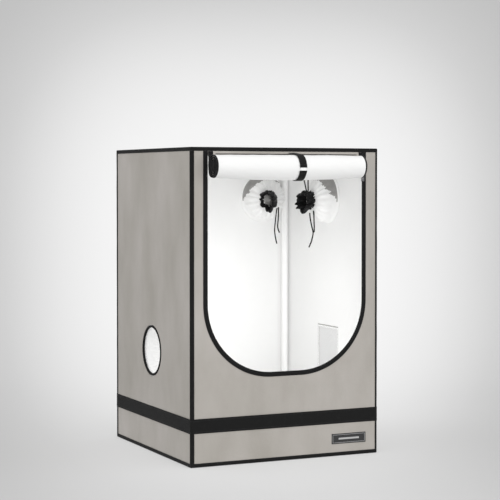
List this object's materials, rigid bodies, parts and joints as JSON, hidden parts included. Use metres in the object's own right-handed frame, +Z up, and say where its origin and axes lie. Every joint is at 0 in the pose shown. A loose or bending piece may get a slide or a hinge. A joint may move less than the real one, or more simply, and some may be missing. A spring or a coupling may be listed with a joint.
{
  "type": "printer enclosure tent",
  "caption": "Fabric enclosure on a pole frame with a rolled-up zip door, drawstring cable ports, a mesh vent with a flap, and sliding hanging bars.",
  "frame": {"origin": "middle of the tent's floor, on the surface it stands on", "axes": "+Z up, -Y out of the front wall with the door, +X to the right seen from the front"},
  "size_m": [0.8, 0.9037, 1.2],
  "materials": {
    "shell": "grey woven polyester, laminated, satin",
    "lining": "white reflective lining film on fabric",
    "webbing": "black woven polypropylene webbing and binding tape",
    "label": "dark woven label, blank",
    "cuff": "black gathered fabric",
    "cord": "black braided cord",
    "net": "pale fine net",
    "pole": "white enamelled steel tube",
    "connector": "moulded plastic corner",
    "slider": "dark grey die-cast zip slider"
  },
  "bodies": {
    "enclosure": {"corner_bottom_front_left": "connector", "corner_bottom_front_right": "connector", "corner_bottom_back_left": "connector", "corner_bottom_back_right": "connector", "corner_top_front_left": "connector", "corner_top_front_right": "connector", "corner_top_back_left": "connector", "corner_top_back_right": "connector", "upright_front_left": "pole", "upright_front_right": "pole", "upright_back_left": "pole", "upright_back_right": "pole", "rail_bottom_front": "pole", "rail_bottom_back": "pole", "rail_bottom_left": "pole", "rail_bottom_right": "pole", "rail_top_front": "pole", "rail_top_back": "pole", "rail_top_left": "pole", "rail_top_right": "pole", "floor_panel": "lining", "roof_panel": "shell", "wall_front": "shell", "wall_back": "shell", "wall_left": "shell", "wall_right": "shell", "binding_top": "webbing", "binding_bottom": "webbing", "binding_front_left": "webbing", "binding_front_right": "webbing", "binding_back_left": "webbing", "binding_back_right": "webbing", "lower_band": "webbing", "label": "label", "zip_track": "webbing", "port_ring_back": "webbing", "port_sleeve_back": "lining", "port_cuff_back": "cuff", "port_ring_right": "webbing", "port_sleeve_right": "lining", "port_cuff_right": "cuff", "port_ring_left": "webbing", "port_sleeve_left": "lining", "port_cuff_left": "cuff", "vent_mesh": "net", "drawstring_back_long": "cord", "drawstring_back_short": "cord", "drawstring_right_long": "cord", "drawstring_right_short": "cord", "hanger_cord": "cord"},
    "rolled_door": {"door_roll": "lining", "door_zip_tape": "webbing", "strap_upper": "webbing", "strap_link": "lining", "strap_lower": "webbing"},
    "slider": {"zip_slider": "slider"},
    "pull": {"zip_pull": "slider"},
    "flap": {"vent_flap": "shell"},
    "bar_front": {"hanging_bar_front": "pole"},
    "bar_back": {"hanging_bar_back": "pole"}
  },
  "joints": [
    {"name": "door_lift", "type": "hinge", "parent": "enclosure", "child": "rolled_door", "pos_m": [0, -0.4018, 1.184], "axis": [-1, 0, 0], "range_deg": [0, 60]},
    {"name": "zip_slide", "type": "slide", "parent": "enclosure", "child": "slider", "axis": [0, 0, -1], "range_m": [0, 0.45]},
    {"name": "pull_swing", "type": "hinge", "parent": "slider", "child": "pull", "pos_m": [0.327, -0.408, 1.096], "axis": [-1, 0, 0], "range_deg": [0, 60]},
    {"name": "flap_lift", "type": "hinge", "parent": "enclosure", "child": "flap", "pos_m": [0.3996, 0.008, 0.474], "axis": [0, -1, 0], "range_deg": [0, 170]},
    {"name": "bar_front_slide", "type": "slide", "parent": "enclosure", "child": "bar_front", "axis": [0, 1, 0], "range_m": [-0.15, 0.12]},
    {"name": "bar_back_slide", "type": "slide", "parent": "enclosure", "child": "bar_back", "axis": [0, 1, 0], "range_m": [-0.12, 0.12]}
  ]
}
